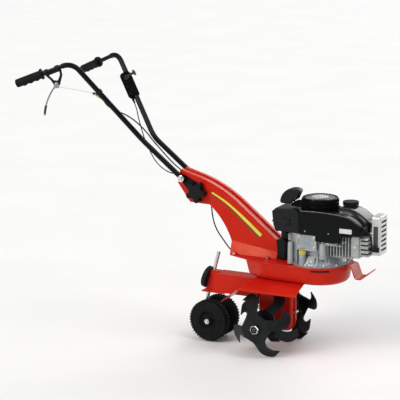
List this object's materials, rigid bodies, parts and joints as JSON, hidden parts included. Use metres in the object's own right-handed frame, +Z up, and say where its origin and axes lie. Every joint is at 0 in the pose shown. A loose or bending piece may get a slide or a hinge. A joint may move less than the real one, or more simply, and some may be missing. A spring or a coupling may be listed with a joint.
{
  "type": "garden tiller",
  "caption": "Petrol garden tiller with a hooked-star rotor under a sheet guard, a gooseneck column to a tilting twin-tube handlebar, a vertical-shaft engine and transport wheels.",
  "frame": {"origin": "on the floor under the middle of the machine's overall box", "axes": "+X forwards from the handle grips to the engine, +Y to the machine's left, +Z up"},
  "size_m": [1.4086, 0.4974, 1.0569],
  "materials": {
    "red_paint": "gloss enamel",
    "black_paint": "satin enamel",
    "zinc_steel": "bright zinc",
    "alloy": "cast, sand finish",
    "cast_iron": "cast",
    "bronze": "turned",
    "black_plastic": "satin",
    "gloss_black": "gloss",
    "yellow_plastic": "gloss",
    "black_rubber": "matt",
    "wheel_rubber": "matt"
  },
  "bodies": {
    "chassis": {"column": "red_paint", "deck_plate": "red_paint", "belt_tub": "red_paint", "frame_bolts": "zinc_steel", "tine_guard": "red_paint", "gearcase_right": "red_paint", "gearcase_left": "red_paint", "rear_arm": "red_paint", "front_bumper": "red_paint", "v_belt": "black_rubber", "clutch_cable": "black_rubber", "throttle_cable": "black_rubber", "shaft_bearings": "bronze", "crankcase": "alloy", "cylinder": "alloy", "cylinder_head": "alloy", "blower_shroud": "black_plastic", "starter_housing": "black_plastic", "air_cleaner": "black_plastic", "carburettor": "black_plastic", "fuel_tank": "gloss_black", "muffler": "cast_iron", "muffler_guard": "zinc_steel", "spark_plug": "black_rubber", "ignition_lead": "black_rubber"},
    "handlebar": {"right_handle_tube": "black_paint", "left_handle_tube": "black_paint", "right_grip": "black_rubber", "left_grip": "black_rubber", "handle_pivot_bolt": "zinc_steel", "clutch_bracket": "black_paint", "cable_stop": "alloy", "throttle_housing": "black_plastic"},
    "clutch_lever": {"clutch_lever": "zinc_steel", "lever_tip": "black_rubber"},
    "throttle_lever": {"throttle_lever": "black_plastic"},
    "handle_knob": {"handle_clamp_knob": "black_plastic"},
    "rotor": {"tine_shaft": "zinc_steel", "worm_wheel": "bronze", "right_outer_star": "black_paint", "right_inner_star": "black_paint", "left_inner_star": "black_paint", "left_outer_star": "black_paint", "tine_hubs": "black_paint"},
    "worm": {"worm_shaft": "zinc_steel", "driven_pulley": "alloy"},
    "crank": {"crankshaft": "zinc_steel", "flywheel": "cast_iron", "drive_pulley": "alloy"},
    "tensioner": {"tensioner_arm": "zinc_steel"},
    "idler": {"tensioner_pulley": "alloy"},
    "strut": {"wheel_strut": "zinc_steel", "axle_nuts": "zinc_steel"},
    "right_wheel": {"right_wheel": "wheel_rubber"},
    "left_wheel": {"left_wheel": "wheel_rubber"},
    "strut_knob": {"strut_clamp_knob": "black_plastic"},
    "starter_handle": {"starter_handle": "black_plastic"},
    "starter_reel": {"starter_reel": "black_plastic"},
    "fuel_cap": {"fuel_cap": "black_plastic"},
    "oil_cap": {"oil_cap": "yellow_plastic"}
  },
  "joints": [
    {"name": "handlebar_tilt", "type": "hinge", "parent": "chassis", "child": "handlebar", "pos_m": [-0.098, 0, 0.622], "axis": [0, 1, 0], "range_deg": [-12, 12], "deforming": ["clutch_cable", "throttle_cable"]},
    {"name": "handle_knob_turn", "type": "hinge", "parent": "chassis", "child": "handle_knob", "pos_m": [-0.037, 0, 0.574], "axis": [0, 1, 0], "range_deg": [-180, 180]},
    {"name": "clutch_squeeze", "type": "hinge", "parent": "handlebar", "child": "clutch_lever", "pos_m": [-0.55238, -0.18541, 0.97381], "axis": [-0.3086, 0.9512, 0], "range_deg": [0, 45], "stiffness_Nm_per_rad": 0.8, "springref_deg": -22.92},
    {"name": "throttle_turn", "type": "hinge", "parent": "handlebar", "child": "throttle_lever", "pos_m": [-0.42039, 0.11002, 0.96743], "axis": [0, 0.9245, -0.3812], "range_deg": [-20, 30]},
    {"name": "tine_spin", "type": "hinge", "parent": "chassis", "child": "rotor", "pos_m": [0.272, 0, 0.115], "axis": [0, 1, 0], "continuous": true},
    {"name": "worm_spin", "type": "hinge", "parent": "chassis", "child": "worm", "pos_m": [0.3139, 0, 0.322], "axis": [0, 0, 1], "continuous": true},
    {"name": "crank_spin", "type": "hinge", "parent": "chassis", "child": "crank", "pos_m": [0.45, 0, 0.322], "axis": [0, 0, 1], "continuous": true},
    {"name": "tensioner_swing", "type": "hinge", "parent": "chassis", "child": "tensioner", "pos_m": [0.43395, 0.07239, 0.3315], "axis": [0, 0, 1], "range_deg": [0, 11.19]},
    {"name": "idler_spin", "type": "hinge", "parent": "tensioner", "child": "idler", "pos_m": [0.38195, 0.07239, 0.322], "axis": [0, 0, 1], "continuous": true},
    {"name": "strut_height", "type": "slide", "parent": "chassis", "child": "strut", "axis": [0.2656, 0, 0.9641], "range_m": [-0.07, 0.018]},
    {"name": "strut_knob_turn", "type": "hinge", "parent": "chassis", "child": "strut_knob", "pos_m": [0.00455, 0, 0.233], "axis": [-0.9641, 0, 0.2656], "range_deg": [-180, 180]},
    {"name": "right_wheel_spin", "type": "hinge", "parent": "strut", "child": "right_wheel", "pos_m": [0.014, -0.042, 0.08], "axis": [0, 1, 0], "continuous": true},
    {"name": "left_wheel_spin", "type": "hinge", "parent": "strut", "child": "left_wheel", "pos_m": [0.014, 0.042, 0.08], "axis": [0, 1, 0], "continuous": true},
    {"name": "starter_pull", "type": "slide", "parent": "chassis", "child": "starter_handle", "axis": [-0.5501, 0, 0.8351], "range_m": [0, 0.5], "stiffness_N_per_m": 30, "springref_m": -0.2},
    {"name": "starter_reel_turn", "type": "hinge", "parent": "chassis", "child": "starter_reel", "pos_m": [0.45, 0, 0.575], "axis": [0, 0, 1], "range_deg": [0, 645]},
    {"name": "fuel_cap_turn", "type": "hinge", "parent": "chassis", "child": "fuel_cap", "pos_m": [0.556, 0.034, 0.565], "axis": [0, 0, 1], "range_deg": [0, 120]},
    {"name": "oil_cap_turn", "type": "hinge", "parent": "chassis", "child": "oil_cap", "pos_m": [0.423, -0.097, 0.398], "axis": [0, 0, 1], "range_deg": [0, 150]}
  ],
  "couplings": [
    {"joint": "worm_spin", "follows": "tine_spin", "ratio": 24},
    {"joint": "tensioner_swing", "follows": "clutch_squeeze", "ratio": 0.24639},
    {"joint": "starter_reel_turn", "follows": "starter_pull", "rad_per_m": 22.222}
  ]
}
